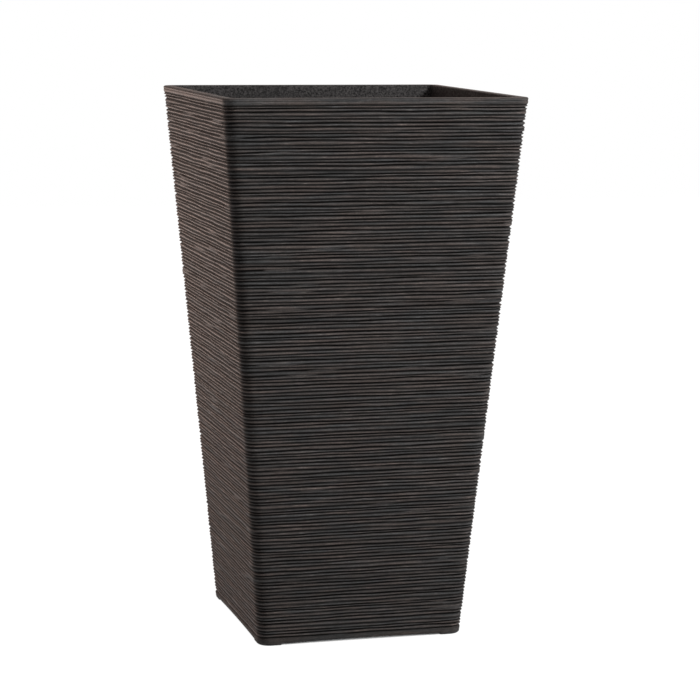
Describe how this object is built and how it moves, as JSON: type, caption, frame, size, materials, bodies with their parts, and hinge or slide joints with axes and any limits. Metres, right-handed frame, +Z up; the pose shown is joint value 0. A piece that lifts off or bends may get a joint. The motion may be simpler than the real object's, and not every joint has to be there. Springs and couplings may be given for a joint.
{
  "type": "tall square planter",
  "caption": "Tall square planter in ribbed crumb rubber, tapering to the floor, with a lift-out soil shelf and a pull-out drain plug inside.",
  "frame": {"origin": "on the ground, under the middle of the base", "axes": "+Z up towards the rim, -Y towards the front wall"},
  "size_m": [0.399, 0.399, 0.711],
  "materials": {
    "shell": "matt ribbed crumb rubber, warm dark brown",
    "soil_shelf": "matt moulded black",
    "drain_plug": "smooth matt black"
  },
  "bodies": {
    "planter": {"shell": "shell"},
    "shelf": {"soil_shelf": "soil_shelf"},
    "plug": {"drain_plug": "drain_plug"}
  },
  "joints": [
    {"name": "shelf_lift", "type": "slide", "parent": "planter", "child": "shelf", "axis": [0, 0, 1], "range_m": [0, 0.36]},
    {"name": "plug_pull", "type": "slide", "parent": "planter", "child": "plug", "axis": [0, 0, 1], "range_m": [0, 0.04]}
  ]
}
